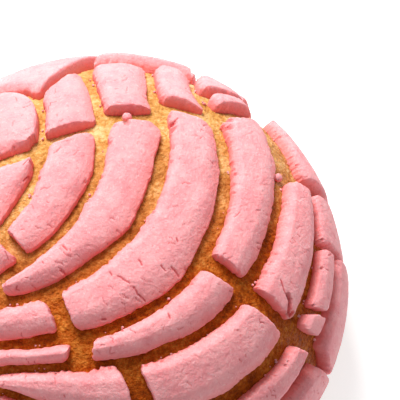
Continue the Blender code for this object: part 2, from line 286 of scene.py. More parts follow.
def tileSides():
    # every tile as name, near side, far side
    first, last = eyeTiles["chord"]
    yield "eye_1", chordSide(first, last, -eyeTiles["cut"] / 2), eyeSide(first, last)
    yield "eye_2", chordSide(first, last, eyeTiles["cut"] / 2), eyeSide(first, last - 360)
    for name, (inner, outer, cuts) in bands.items():
        for n, (start, end) in enumerate(zip(cuts, cuts[1:]), 1):
            near = ringSide(inner, (start[0], start[2] / 2), (end[0], end[2] / 2), 1)
            far = ringSide(outer, (start[1], start[2] / 2), (end[1], end[2] / 2), -1)
            yield f"{name}_{n}", near, far
    for n, (start, end) in enumerate(zip(skirtCuts, skirtCuts[1:]), 1):
        near = skirtSide(*((top, (dome["skirtCut"] + flare) / 2) for top, _, flare in (start, end)))
        far = hemSide(*((low, (dome["skirtCut"] - flare) / 2) for _, low, flare in (start, end)))
        yield f"skirt_{n:02d}", near, far


# Helpers for meshes and node trees
def link(tree, *pairs):
    for source, target in pairs:
        tree.links.new(source, target)


def node(tree, kind, inputs=None, **settings):
    made = tree.nodes.new(kind)
    for key, value in settings.items():
        setattr(made, key, value)
    for key, value in (inputs or {}).items():
        made.inputs[key].default_value = value
    return made


def storeField(data, name, values):
    data.attributes.new(name, "FLOAT", "POINT").data.foreach_set("value", np.asarray(values, np.float32))


def addObject(name, data):
    thing = bpy.data.objects.new(name, data)
    bpy.context.scene.collection.objects.link(thing)
    return thing


def meshPiece(name, verts, faces, fields):
    data = bpy.data.meshes.new(name)
    data.from_pydata([tuple(v) for v in verts], [], faces)
    for key, values in fields.items():
        storeField(data, key, values)
    work = bmesh.new()
    work.from_mesh(data)
    bmesh.ops.recalc_face_normals(work, faces=work.faces)
    if work.calc_volume(signed=True) < 0:
        bmesh.ops.reverse_faces(work, faces=work.faces)
    work.to_mesh(data)
    work.free()
    data.shade_smooth()
    return addObject(name, data)


def applyTree(thing, tree, values, material):
    # runs one Geometry Nodes tree on the piece and keeps the result as a plain mesh
    modifier = thing.modifiers.new(tree.name, "NODES")
    modifier.node_group = tree
    sockets = [s for s in tree.interface.items_tree if s.item_type == "SOCKET" and s.in_out == "INPUT"]
    identifiers = {s.name: s.identifier for s in sockets}
    for key, value in {**values, "Finish": material}.items():
        modifier[identifiers[key]] = value
    evaluated = thing.evaluated_get(bpy.context.evaluated_depsgraph_get())
    made = bpy.data.meshes.new_from_object(evaluated)
    thing.modifiers.clear()
    old = thing.data
    thing.data = made
    bpy.data.meshes.remove(old)
    made.name = thing.name


def treeWith(name, sockets):
    # a Geometry Nodes group with named inputs, a Finish material and one geometry out
    tree = bpy.data.node_groups.new(name, "GeometryNodeTree")
    tree.interface.new_socket("Geometry", in_out="INPUT", socket_type="NodeSocketGeometry")
    for key, kind in sockets.items():
        tree.interface.new_socket(key, in_out="INPUT", socket_type=f"NodeSocket{kind}")
    tree.interface.new_socket("Finish", in_out="INPUT", socket_type="NodeSocketMaterial")
    tree.interface.new_socket("Geometry", in_out="OUTPUT", socket_type="NodeSocketGeometry")
    return tree, tree.nodes.new("NodeGroupInput").outputs, tree.nodes.new("NodeGroupOutput").inputs


def fieldOf(tree, name):
    made = node(tree, "GeometryNodeInputNamedAttribute", {"Name": name}, data_type="FLOAT")
    return made.outputs["Attribute"]


def keepField(tree, inputs):
    return node(tree, "GeometryNodeStoreNamedAttribute", inputs, data_type="FLOAT", domain="POINT")


def mathNode(tree, operation, a, b):
    made = node(tree, "ShaderNodeMath", operation=operation)
    for socket, value in zip(made.inputs, (a, b)):
        if hasattr(value, "is_output"):
            tree.links.new(value, socket)
        else:
            socket.default_value = value
    return made.outputs[0]


def swingOf(tree, noise):
    # a noise's swing to either side of its middle
    return mathNode(tree, "SUBTRACT", noise.outputs[0], 0.5)


# Relief: one tree pushes a surface in and out along its normals
# part, detail, shift of its seed
reliefNoises = (("Lump", 1.0, 0.0), ("Facet", 2.0, 3.7), ("Grain", 2.0, 9.1))
pitSteepness = 7.0


def reliefTree(values):
    tree, given, result = treeWith("surfaceRelief", {key: "Float" for key in values})
    total = None
    for part, detail, seedShift in reliefNoises:
        noise = node(tree, "ShaderNodeTexNoise", {"Detail": detail}, noise_dimensions="4D")
        link(tree, (mathNode(tree, "DIVIDE", 1.0, given[f"{part} Size"]), noise.inputs["Scale"]))
        link(tree, (mathNode(tree, "ADD", given["Seed"], seedShift), noise.inputs["W"]))
        swing = mathNode(tree, "MULTIPLY", swingOf(tree, noise), 2.0)
        push = mathNode(tree, "MULTIPLY", swing, given[f"{part} Height"])
        total = push if total is None else mathNode(tree, "ADD", total, push)
    cells = node(tree, "ShaderNodeTexVoronoi", voronoi_dimensions="4D")
    link(tree, (mathNode(tree, "DIVIDE", 1.0, given["Pit Size"]), cells.inputs["Scale"]))
    link(tree, (given["Seed"], cells.inputs["W"]))
    fall = mathNode(tree, "MULTIPLY", cells.outputs["Distance"], pitSteepness)
    near = mathNode(tree, "SUBTRACT", 1.0, fall)
    pit = mathNode(tree, "MULTIPLY", mathNode(tree, "MAXIMUM", near, 0.0), given["Pit Depth"])
    total = mathNode(tree, "SUBTRACT", total, pit)
    # the relief as a share of the facet height, kept for the finishes, which paint shade into its hollows
    hollow = mathNode(tree, "DIVIDE", total, given["Facet Height"])
    total = mathNode(tree, "SUBTRACT", total, given["Sink"])
    total = mathNode(tree, "MULTIPLY", total, fieldOf(tree, "coat"))
    crack = mathNode(tree, "MULTIPLY", fieldOf(tree, "crack"), given["Crack Depth"])
    total = mathNode(tree, "SUBTRACT", total, crack)
    normal = node(tree, "GeometryNodeInputNormal")
    along = node(tree, "ShaderNodeVectorMath", operation="SCALE")
    keep = keepField(tree, {"Name": "relief"})
    move = node(tree, "GeometryNodeSetPosition")
    real = node(tree, "GeometryNodeRealizeInstances")
    finish = node(tree, "GeometryNodeSetMaterial")
    link(tree,
         (normal.outputs[0], along.inputs[0]), (total, along.inputs["Scale"]),
         (given["Geometry"], keep.inputs["Geometry"]), (hollow, keep.inputs["Value"]),
         (keep.outputs[0], move.inputs["Geometry"]), (along.outputs[0], move.inputs["Offset"]),
         (move.outputs[0], real.inputs[0]), (real.outputs[0], finish.inputs["Geometry"]),
         (given["Finish"], finish.inputs["Material"]), (finish.outputs[0], result[0]))
    return tree


# The sugar paste, in millimetres
pasteTile = {
    "meshStep": 0.23,  # between rows
    "fewestRows": 10,
    "bed": 0.5,  # clearance under a tile in the part's source
    "crowning": 0.25,  # how much thicker a tile is along its middle
    "crowningRun": 4.0,
    "cornerRadius": 1.3,
    "cornerLimit": 0.45,  # most of a side that one corner takes up
    "nearShare": 0.46,  # height at the edge nearest the whorl, as a share of the full height
    "nearRise": 2.2,  # distance over which that edge rises to the full height
    "farShare": 0.34,
    "farRise": 5.0,
    "farSteepness": 1.7,
    "farWaver": (6.0, 0.14),  # of that distance: step of its curve, share
    "farRange": (0.64, 1.4),
    "endShare": 0.86,
    "endRise": 1.1,
    "riseLimit": 0.4,  # most of the width or the length that a near or an end rise takes up
    "farLimit": 0.55,
    "wallRows": 5,
    "wallFoot": -0.25,  # how far the walls go into the bread
    "wallBulge": 0.12,
    "edgeWander": (5.0, 0.2, 1.6),  # slow waver of the outline: step of its curve, size, reach inwards
    "edgeFray": (0.8, 0.09, 0.45),  # quick waver
    "frayShare": 1.2,
    "farFrayShare": 0.7,
    "seed": 11,
}
bites = {  # small places along the long edges where the paste has crumbled away
    "near": (7.0, 0.38),  # length of edge for each, largest size
    "far": (21.0, 0.28),
    "smallest": 0.14,
    "inset": 0.35,
    "depth": 0.45,  # share of the height
}
hairlines = {
    "every": 18.0,  # mm2 of paste for each
    "margin": 2,  # mesh rows that are left out at the edges
    "legs": (1, 4),
    "leg": (0.3, 0.8),
    "stray": (0.1, 0.35),
    "width": (0.10, 0.15),
    "depth": (0.20, 0.75),
    "namedWidth": 0.17,
    "tornWidth": 0.42,
    "deepWidth": 0.32,
    "deepDepth": 0.75,  # share of the height
    "biteShade": 0.3,  # how much of a crack's painted shade a bite takes on
    # how much of a crack's painted shade a deep gash takes on
    "gashShade": 0.4,
}
pasteRelief = {
    "Lump Height": 0.26 * mm, "Lump Size": 10.0 * mm,
    "Facet Height": 0.11 * mm, "Facet Size": 2.0 * mm,
    "Grain Height": 0.06 * mm, "Grain Size": 0.7 * mm,
    "Pit Depth": 0.18 * mm, "Pit Size": 1.9 * mm,
    "Crack Depth": 0.3 * mm, "Sink": 0.2 * mm, "Seed": 2.0,
}
# cracks that the photo shows: tile, then bearing and reach from the whorl, in zigzag order
namedCracks = {
    "middle_2": [
        [(-36.6, 40.1), (-36.3, 40.9), (-36.4, 41.7), (-36.1, 43.1)],
        [(-36.3, 44.3), (-36.7, 45.3), (-37.2, 45.9), (-37.0, 46.3), (-37.1, 48.0)],
        [(-37.0, 38.3), (-37.4, 39.0)],
        [(-28.9, 41.9), (-29.2, 42.4), (-29.8, 43.0)],
        [(-27.2, 46.6), (-27.5, 47.2), (-27.7, 47.9)],
        [(-26.0, 48.6), (-26.2, 49.4), (-26.5, 50.0), (-26.9, 51.2)],
        [(-18.5, 47.1), (-19.2, 47.6)],
        [(-48.8, 44.1), (-48.0, 44.6)],
        [(19.6, 44.0), (19.2, 46.4), (19.8, 47.8)],
        [(17.0, 43.8), (16.9, 46.0)],
    ],
    "outer_4": [[(-36.2, 53.3), (-36.8, 54.3)]],
    "inner_2": [
        [(-48.3, 30.1), (-47.5, 31.3)], [(-57.3, 24.3), (-53.7, 24.4)], [(-39.9, 26.8), (-40.2, 28.1)],
    ],
    "outer_3": [[(18.6, 56.6), (18.2, 58.0), (18.9, 59.4)], [(13.2, 56.4), (13.4, 57.6)]],
    "shell_1": [[(-20.0, 76.6), (-19.4, 75.3), (-18.5, 73.6), (-17.1, 72.1)]],
}
tornEdges = {  # places where an edge is torn
    "inner_2": [[(23.6, 36.6), (22.0, 36.3)]],
    "middle_2": [[(20.6, 45.0), (18.9, 46.6)], [(17.8, 45.0), (17.2, 46.3)]],
    "outer_3": [[(19.6, 59.8), (18.6, 61.4)], [(16.8, 59.4), (16.6, 60.6)]],
    "shell_1": [[(-22.4, 78.2), (-20.2, 76.7)], [(-21.8, 79.2), (-20.6, 77.6)]],
}
deepGashes = {  # splits that go most of the way to the bread
    "middle_2": [
        [(20.3, 43.6), (19.6, 45.4), (18.9, 46.5)], [(17.7, 43.4), (16.7, 45.6)],
        [(15.5, 43.0), (15.0, 44.4)],
    ],
    "shell_1": [[(-18.8, 75.2), (-19.8, 76.8), (-21.5, 78.6)], [(-21.9, 79.4), (-20.6, 78.9)]],
}
tileHabits = {  # what sets single tiles apart
    "inner_2": {"cornerRadius": 2.2},
    "middle_2": {"cornerRadius": 1.6},
    "shell_1": {"cornerRadius": 0.6, "farShare": 0.6, "farRise": 3.4},
    "shell_2": {"cornerRadius": 0.7},
    "wing_1": {"nearShare": 0.8, "nearRise": 1.6, "farShare": 0.6, "farRise": 4.0, "endShare": 0.7},
    "crest_1": {"farShare": 0.7, "farRise": 3.0},
    "rim_3": {"nearShare": 0.7, "nearRise": 1.8, "farShare": 0.7, "farRise": 1.8},
    **{name: {"farShare": 0.8, "farRise": 1.8} for name in ("eye_1", "west_1", "west_2")},
    "rim_1": {"nearShare": 0.7, "farShare": 0.8, "farRise": 1.8},
    "rim_2": {"nearShare": 0.7, "nearRise": 1.6, "farShare": 0.7, "farRise": 1.8, "endShare": 0.94},
    "west_3": {"cornerRadius": 1.8, "farShare": 1.0},
    "north_1": {"farShare": 1.0},
    **{f"skirt_{n:02d}": {"farShare": 0.6, "farRise": 2.6} for n in range(1, len(skirtCuts))},
}


def wander(rng, length, step, size):
    # a smooth random curve along a side, as a function of distance
    count = max(4, int(length / step) + 4)
    knots = rng.normal(0, size, count)
    places = (np.arange(count) - 1.5) * step

    def at(distance):
        t = np.clip((distance - places[0]) / step, 0, count - 1.001)
        i = t.astype(int)
        s = t - i
        s = s * s * (3 - 2 * s)
        return knots[i] * (1 - s) + knots[np.minimum(i + 1, count - 1)] * s

    return at


def roundCorners(a, b, width, length, radius):
    a, b = a.copy(), b.copy()
    radius = min(radius, width * pasteTile["cornerLimit"], length * pasteTile["cornerLimit"])
    for flipA in (False, True):
        for flipB in (False, True):
            x = radius - (width - a if flipA else a)
            y = radius - (length - b if flipB else b)
            inside = (x > 0) & (y > 0)
            scale = np.where(inside, np.maximum(x, y) / np.maximum(np.hypot(x, y), tiny), 1.0)
            newX, newY = radius - x * scale, radius - y * scale
            a = np.where(inside, width - newX if flipA else newX, a)
            b = np.where(inside, length - newY if flipB else newY, b)
    return a, b


def quarterRise(distance, run, share):
    t = np.clip(distance / run, 0, 1)
    return share + (1 - share) * np.sqrt(1 - (1 - t) ** 2)


def softRise(distance, run, share):
    t = np.clip(distance / run, 0, 1)
    return share + (1 - share) * np.sin(t * math.pi / 2)


def bevelRise(distance, run, share):
    t = np.clip(distance / run, 0, 1)
    return share + (1 - share) * (1 - (1 - t) ** pasteTile["farSteepness"])


def heightShare(rng, a, b, width, length, habits):
    # before the outline is bent, so that every contour follows the outline
    share = softRise(a, min(habits["nearRise"], width * habits["riseLimit"]), habits["nearShare"])
    slope = habits["farRise"] * np.clip(1 + wander(rng, length, *habits["farWaver"])(b), *habits["farRange"])
    share = share * bevelRise(width - a, np.minimum(slope, width * habits["farLimit"]), habits["farShare"])
    for distance in (b, length - b):
        run = min(habits["endRise"], length * habits["riseLimit"])
        share = share * quarterRise(distance, run, habits["endShare"])
    return share


def edgeMove(distance, place, slow, quick, fray):
    slowReach, quickReach = pasteTile["edgeWander"][2], pasteTile["edgeFray"][2]
    return slow(place) * np.exp(-distance / slowReach) + fray * quick(place) * np.exp(-distance / quickReach)


def bentPlaces(rng, a, b, width, length, habits):
    # shares across and along the tile, with round corners and a wavering outline
    bentA, bentB = roundCorners(a, b, width, length, habits["cornerRadius"])
    waver = []
    for side in (length, length, width, width):
        for step, size, _ in (habits["edgeWander"], habits["edgeFray"]):
            waver.append(wander(rng, side, step, size))
    fray, farFray = habits["frayShare"], habits["farFrayShare"]
    moveA = edgeMove(a, bentB, waver[0], waver[1], fray)
    moveA = moveA + edgeMove(width - a, bentB, waver[2], waver[3], farFray)
    moveB = edgeMove(b, bentA, waver[4], waver[5], fray)
    moveB = moveB + edgeMove(length - b, bentA, waver[6], waver[7], fray)
    return (bentA + moveA) / width, (bentB + moveB) / length


def distanceToPath(spots, path):
    best = np.full(spots.shape[:-1], np.inf)
    for start, end in zip(path, path[1:]):
        run = end - start
        t = np.clip(((spots - start) @ run) / (run @ run), 0, 1)
        best = np.minimum(best, np.hypot(*np.moveaxis(spots - start - t[..., None] * run, -1, 0)))
    return best


def pathMask(spots, paths, width):
    mask = np.zeros(spots.shape[:-1])
    for path in paths:
        mask = np.maximum(mask, np.exp(-(distanceToPath(spots, fromWhorl(path)) / width) ** 2))
    return mask


def biteMask(rng, a, b, width, length):
    mask = np.zeros(a.shape)
    for distance, (every, largest) in ((a, bites["near"]), (width - a, bites["far"])):
        for _ in range(int(length / every)):
            place, inset = rng.uniform(0, length), rng.uniform(0, bites["inset"])
            size = rng.uniform(bites["smallest"], largest)
            mask = np.maximum(mask, np.exp(-((b - place) ** 2 + (distance - inset) ** 2) / size**2))
    return mask


def hairlineMask(rng, spots, area):
    mask = np.zeros(spots.shape[:-1])
    rows, columns = spots.shape[:2]
    margin = hairlines["margin"]
    for _ in range(int(area / hairlines["every"])):
        place = spots[rng.integers(margin, rows - margin), rng.integers(margin, columns - margin)]
        outward = place - whorl
        outward = outward / max(np.hypot(*outward), tiny)
        sideways = np.array((-outward[1], outward[0]))
        points = [place]
        for _ in range(rng.integers(*hairlines["legs"])):
            leg = outward * rng.uniform(*hairlines["leg"])
            points.append(points[-1] + leg + sideways * rng.normal(*hairlines["stray"]))
        width, depth = rng.uniform(*hairlines["width"]), rng.uniform(*hairlines["depth"])
        mask = np.maximum(mask, depth * np.exp(-(distanceToPath(spots, points) / width) ** 2))
    return mask


def rimLoop(rows, columns):
    loop = [(0, j) for j in range(columns)] + [(i, columns) for i in range(rows)]
    loop += [(rows, j) for j in range(columns, 0, -1)] + [(i, 0) for i in range(rows, 0, -1)]
    return np.array(loop)


def outwardFrom(rim, middle):
    tangent = np.roll(rim, -1, 0) - np.roll(rim, 1, 0)
    outward = np.stack((tangent[:, 1], -tangent[:, 0]), -1)
    outward /= np.maximum(np.hypot(*outward.T), tiny)[:, None]
    return -outward if (outward * (rim - middle)).sum() < 0 else outward


def shellPoints(spots, lift, share, crack, loop):
    # the top, then rows of wall from its rim down into the bread, with the fields that the finish reads
    i, j = loop.T
    rim, rimLift, rimShare, rimCrack = spots[i, j], lift[i, j], share[i, j], crack[i, j]
    outward = outwardFrom(rim, spots.reshape(-1, 2).mean(0))
    verts = [drape(spots, lift).reshape(-1, 3)]
    coat, rise, cracks = [np.ones(lift.size)], [share.ravel()], [crack.ravel()]
    for row in range(1, pasteTile["wallRows"] + 1):
        t = row / pasteTile["wallRows"]
        bulge = pasteTile["wallBulge"] * math.sin(math.pi * t)
        verts.append(drape(rim + outward * bulge, rimLift * (1 - t) + pasteTile["wallFoot"] * t))
        coat.append(np.full(len(rim), math.sqrt(1 - t)))
        rise.append(rimShare * (1 - t))
        cracks.append(rimCrack * (1 - t))
    fields = {"coat": np.concatenate(coat), "crack": np.concatenate(cracks), "rise": np.concatenate(rise)}
    return np.concatenate(verts), fields


def shellFaces(rows, columns, loop):
    cell = np.arange((rows + 1) * (columns + 1)).reshape(rows + 1, columns + 1)
    quads = np.stack((cell[:-1, :-1], cell[:-1, 1:], cell[1:, 1:], cell[1:, :-1]), -1)
    faces = quads.reshape(-1, 4).tolist()
    upper = cell[loop[:, 0], loop[:, 1]]
    for row in range(pasteTile["wallRows"]):
        lower = cell.size + row * len(loop) + np.arange(len(loop))
        faces += np.stack((upper, lower, np.roll(lower, -1), np.roll(upper, -1)), -1).tolist()
        upper = lower
    # the underside, hidden in the bread: one strip of quads, and a many-sided face at either end
    foot = {tuple(place): int(v) for place, v in zip(loop.tolist(), upper)}
    for i in range(1, rows - 1):
        faces.append([foot[i, 0], foot[i, columns], foot[i + 1, columns], foot[i + 1, 0]])
    faces.append([foot[0, j] for j in range(columns + 1)] + [foot[1, columns], foot[1, 0]])
    last = [foot[rows, j] for j in range(columns, -1, -1)]
    faces.append(last + [foot[rows - 1, 0], foot[rows - 1, columns]])
    return faces


def makeTile(name, near, far, tree, material, index):
    habits = {**pasteTile, **tileHabits.get(name, {})}
    rng = np.random.default_rng(habits["seed"] + index)
    shares = np.linspace(0, 1, 33)
    width = float(np.mean(np.hypot(*np.moveaxis(near(shares) - far(shares), -1, 0))))
    length = float(np.mean([np.hypot(*np.diff(side(shares), axis=0).T).sum() for side in (near, far)]))
    rows = max(habits["fewestRows"], math.ceil(length / habits["meshStep"]))
    columns = max(habits["fewestRows"], math.ceil(width / habits["meshStep"]))
    b, a = np.meshgrid(np.linspace(0, length, rows + 1), np.linspace(0, width, columns + 1), indexing="ij")

    share = heightShare(rng, a, b, width, length, habits)
    u, v = bentPlaces(rng, a, b, width, length, habits)
    spots = near(v) + (far(v) - near(v)) * u[..., None]
    gone = biteMask(rng, a, b, width, length)
    gone = np.maximum(gone, pathMask(spots, tornEdges.get(name, []), hairlines["tornWidth"]))
    deep = pathMask(spots, deepGashes.get(name, []), hairlines["deepWidth"])
    share = share * (1 - bites["depth"] * gone) * (1 - hairlines["deepDepth"] * deep)
    crowning = habits["crowning"] * np.clip(np.minimum(a, width - a) / habits["crowningRun"], 0, 1)
    full = dome["paste"] + crowning - habits["bed"]
    lift = habits["bed"] + share * full * tileHeight.get(name, 1.0)
    crack = pathMask(spots, namedCracks.get(name, []), hairlines["namedWidth"])
    crack = np.maximum(crack, hairlineMask(rng, spots, width * length))
    # bites and gashes take on part of the cracks' painted shade
    crack = np.maximum(crack, np.maximum(hairlines["biteShade"] * gone, hairlines["gashShade"] * deep))

    loop = rimLoop(rows, columns)
    verts, fields = shellPoints(spots, lift, share, crack, loop)
    tile = meshPiece(f"sugarTile_{name}", verts, shellFaces(rows, columns, loop), fields)
    applyTree(tile, tree, pasteRelief, material)
    return tile


# The bread, in millimetres
breadLoaf = {
    "meshStep": 0.47,
    "underStep": 4.0,  # mesh step of the flat underside
    "fewestSides": 6,
    "lap": 0.8,  # how far the dome reaches on under the paste's lower edge
    "hemDrop": 2.4,  # from there to the first row of the bare side
    "flankInset": 0.7,
    "flankFullness": 2.6,
    "flankRows": 24,
    "flankCrowding": 1.3,  # above 1, the rows lie closer towards the base
    "baseRadius": 45.5,
    "baseRings": 12,
    "baseMargin": 1.0,  # width of the base's edge that keeps the fine step
    "bareFoot": 0.3,  # height below which there is no relief
    "coatRise": 5.0,  # height at which the relief is full
}
breadRelief = {
    "Lump Height": 0.22 * mm, "Lump Size": 5.0 * mm,
    "Facet Height": 0.26 * mm, "Facet Size": 1.1 * mm,
    "Grain Height": 0.16 * mm, "Grain Size": 0.6 * mm,
    "Pit Depth": 0.14 * mm, "Pit Size": 1.2 * mm,
    "Crack Depth": 0.0, "Sink": 0.1 * mm, "Seed": 5.0,
}


def breadOutline():
    # radius and height, from the top to the middle of the base
    underHem = dome["hem"] + dome["hemSwing"] + breadLoaf["lap"]
    reach = np.linspace(0, underHem, math.ceil(underHem / breadLoaf["meshStep"]) + 1)
    place = drape(np.stack((reach, np.zeros_like(reach)), -1), 0.0) / mm
    points = [(x, z) for x, _, z in place]
    start = points[-1][1] - breadLoaf["hemDrop"]
    flare = dome["wideRadius"] - breadLoaf["flankInset"] - breadLoaf["baseRadius"]
    for n in range(breadLoaf["flankRows"] + 1):
        height = start * (1 - n / breadLoaf["flankRows"]) ** breadLoaf["flankCrowding"]
        drop = (dome["wideHeight"] - height) / dome["wideHeight"]
        share = math.sqrt(1 - drop ** breadLoaf["flankFullness"])
        points.append((breadLoaf["baseRadius"] + flare * share, height))
    edge = points[-1][0]
    points += [(edge * (1 - n / breadLoaf["baseRings"]), 0.0) for n in range(1, breadLoaf["baseRings"])]
    return points


def zipRings(inner, outer):
    # triangles between two rings of different counts, walking both round together
    faces, i, j = [], 0, 0
    while i < len(inner) or j < len(outer):
        if j >= len(outer) or (i < len(inner) and (i + 1) / len(inner) <= (j + 1) / len(outer)):
            faces.append((inner[i % len(inner)], outer[j % len(outer)], inner[(i + 1) % len(inner)]))
            i += 1
        else:
            faces.append((inner[i % len(inner)], outer[j % len(outer)], outer[(j + 1) % len(outer)]))
            j += 1
    return faces


def fanTo(point, ring):
    return [(ring[k], point, ring[(k + 1) % len(ring)]) for k in range(len(ring))]


def makeBread(tree, material):
    verts, faces, coat, previous = [(0.0, 0.0, 0.0)], [], [0.0], None
    for radius, height in breadOutline():
        isUnder = height <= 0 and radius < breadLoaf["baseRadius"] - breadLoaf["baseMargin"]
        step = breadLoaf["underStep" if isUnder else "meshStep"]
        count = max(breadLoaf["fewestSides"], round(2 * math.pi * radius / step)) if previous else 1
        turns = np.arange(count) / count * 2 * math.pi
        ring = list(range(len(verts), len(verts) + count))
        verts += [(radius * math.cos(t) * mm, radius * math.sin(t) * mm, height * mm) for t in turns]
        coat += [0.0 if height < breadLoaf["bareFoot"] else min(1.0, height / breadLoaf["coatRise"])] * count
        if previous:
            faces += fanTo(previous[0], ring) if len(previous) == 1 else zipRings(previous, ring)
        previous = ring
    faces += fanTo(0, previous)
    loaf = meshPiece("bunBread", verts, faces, {"coat": coat, "crack": np.zeros(len(verts))})
    applyTree(loaf, tree, breadRelief, material)
    return loaf


# Crumbs of paste lying in the grooves
crumbs = {
    "perTile": 4,
    "smallest": 0.08 * mm,
    "largest": 0.34 * mm,
    "stretch": (0.03, 0.97),  # of a tile's near side
    "inset": (0.1, 0.9),  # mm from that side towards the whorl
    "lift": 0.12,
    "turn": 6.28,
    "roughness": 0.9,
    "roughScale": 1300.0,
    "seed": 4,
    "treeSeed": 3,
    "balls": (((5.7, 27.3), 1.15), ((43.0, 17.3), 1.0)),  # place on the flat disc, and radius in mm
    "ballLift": 0.6,  # share of the radius
}


def crumbTree():
    kinds = {"Smallest": "Float", "Largest": "Float", "Roughness": "Float", "Seed": "Int"}
    tree, given, result = treeWith("crumbScatter", kinds)
    ball = node(tree, "GeometryNodeMeshIcoSphere", {"Radius": 1.0, "Subdivisions": 2})
    size = node(tree, "FunctionNodeRandomValue", data_type="FLOAT")
    turn = node(tree, "FunctionNodeRandomValue", {1: (crumbs["turn"],) * 3}, data_type="FLOAT_VECTOR")
    link(tree, (given["Smallest"], size.inputs[2]), (given["Largest"], size.inputs[3]),
         (given["Seed"], size.inputs["Seed"]), (given["Seed"], turn.inputs["Seed"]))
    chosen = mathNode(tree, "MAXIMUM", size.outputs[1], fieldOf(tree, "size"))
    place = node(tree, "GeometryNodeInstanceOnPoints")
    real = node(tree, "GeometryNodeRealizeInstances")
    shape = {"Scale": crumbs["roughScale"], "Detail": 1.0}
    noise = node(tree, "ShaderNodeTexNoise", shape, noise_dimensions="3D")
    most = mathNode(tree, "MULTIPLY", given["Roughness"], given["Largest"])
    shift = mathNode(tree, "MULTIPLY", swingOf(tree, noise), most)
    normal = node(tree, "GeometryNodeInputNormal")
    along = node(tree, "ShaderNodeVectorMath", operation="SCALE")
    move = node(tree, "GeometryNodeSetPosition")
    smooth = node(tree, "GeometryNodeSetShadeSmooth")
    # a full rise, so the crumbs take none of the walls' painted shade
    keep = keepField(tree, {"Name": "rise", "Value": 1.0})
    finish = node(tree, "GeometryNodeSetMaterial")
    link(tree,
         (given["Geometry"], place.inputs["Points"]), (ball.outputs[0], place.inputs["Instance"]),
         (turn.outputs[0], place.inputs["Rotation"]), (chosen, place.inputs["Scale"]),
         (place.outputs[0], real.inputs[0]), (real.outputs[0], move.inputs["Geometry"]),
         (normal.outputs[0], along.inputs[0]), (shift, along.inputs["Scale"]),
         (along.outputs[0], move.inputs["Offset"]), (move.outputs[0], smooth.inputs[0]),
         (smooth.outputs[0], keep.inputs["Geometry"]), (keep.outputs[0], finish.inputs["Geometry"]),
         (given["Finish"], finish.inputs["Material"]), (finish.outputs[0], result[0]))
    return tree


def makeCrumbs(nearSides, material):
    rng = np.random.default_rng(crumbs["seed"])
    spots, sizes = [], []
    for near in nearSides:
        for _ in range(crumbs["perTile"]):
            share = rng.uniform(*crumbs["stretch"])
            place, ahead = near(np.array(share)), near(np.array(min(share + 0.02, 1.0)))
            along = (ahead - place) / max(np.hypot(*(ahead - place)), tiny)
            side = np.array((-along[1], along[0]))
            side = side if side @ (whorl - place) > 0 else -side
            spots.append(place + side * rng.uniform(*crumbs["inset"]))
            sizes.append(0.0)
    for place, size in crumbs["balls"]:
        spots.append(np.array(place))
        sizes.append(size * mm)
    data = bpy.data.meshes.new("looseCrumbs")
    lifts = np.array([crumbs["lift"] + size / mm * crumbs["ballLift"] for size in sizes])
    data.from_pydata([tuple(p) for p in drape(np.array(spots), lifts)], [], [])
    storeField(data, "size", sizes)
    thing = addObject("looseCrumbs", data)
    values = {
        "Smallest": crumbs["smallest"], "Largest": crumbs["largest"],
        "Roughness": crumbs["roughness"], "Seed": crumbs["treeSeed"],
    }
    applyTree(thing, crumbTree(), values, material)
    return thing


# Finishes. A noise is scale, detail, roughness; a bump is a noise, strength, distance in metres.
pasteFinish = {
    "pale": (0.86, 0.385, 0.405, 1),
    "rosy": (0.80, 0.285, 0.31, 1),
    # deep: random darker specks, and the painted shade in cracks
    "deep": (0.60, 0.05, 0.06, 1),
    "wallShade": (0.86, 0.20, 0.18, 1),  # painted shade: the saturated red that the walls and low edges take on in shade and bounce light
    "sugar": (0.95, 0.62, 0.62, 1),
    "blotch": (230.0, 4.0, 0.7),
    "rosyAt": 0.34,  # of the blotch
    "paleAt": 0.62,
    "layers": (  # field or noise, its values for none and for all, strength, colour
        # painted shade: hollows and pits of the relief take on the rosy colour
        ("relief", -0.2, -1.6, 0.4, "rosy"),
        ((1500.0, 2.0, 0.6), 0.58, 0.72, 0.4, "sugar"),
        ((1150.0, 2.0, 0.55), 0.38, 0.28, 0.25, "deep"),
        # painted shade on the walls and low edges, where the rise is small
        ("rise", 0.8, 0.1, 0.85, "wallShade"),
        # painted shade in cracks, bites and gashes
        ("crack", 0.05, 0.75, 0.8, "deep"),
    ),
    "bumps": (((800.0, 2.0, 0.6), 0.5, 0.0005), ((1900.0, 3.0, 0.65), 0.7, 0.0003)),
    "surface": {
        "Roughness": 0.8, "Specular IOR Level": 0.3,
        "Subsurface Weight": 0.4, "Subsurface Radius": (1.0, 0.35, 0.3), "Subsurface Scale": 0.0018,
    },
}
crustFinish = {  # brown, gold and pale for the back of the bun, and the darker three of its front; the front is darker and the back paler partly in the crust's own tone and partly as painted light: shade at the front and right, the window's light and sheen at the back
    "back": ((0.42, 0.16, 0.03, 1), (0.63, 0.32, 0.09, 1), (0.84, 0.55, 0.27, 1)),
    "front": ((0.20, 0.030, 0.003, 1), (0.40, 0.078, 0.004, 1), (0.60, 0.20, 0.03, 1)),
    "stops": (0.36, 0.5, 0.66),
    "patch": (170.0, 2.0, 0.5),
    "fleck": (1000.0, 3.0, 0.7),
    "patchShare": 0.4,
    "fleckShare": 0.6,
    # hollows browner: painted shade
    "reliefShare": 0.05,
    "paleFrom": 0.020,  # metres along Y
    "darkFrom": -0.016,
    "waver": 0.02,  # metres by which that border strays
    "darkSkew": 0.35,  # how much further back the dark, partly painted shade, begins towards the right
    "bumps": (((760.0, 3.0, 0.6), 0.9, 0.0009), ((1900.0, 2.0, 0.6), 0.8, 0.0004)),
    "surface": {
        "Roughness": 0.42, "Specular IOR Level": 0.2, "Specular Tint": (1.0, 0.68, 0.32, 1),
        "Subsurface Weight": 0.12, "Subsurface Radius": (1.0, 0.5, 0.2), "Subsurface Scale": 0.0008,
    },
}


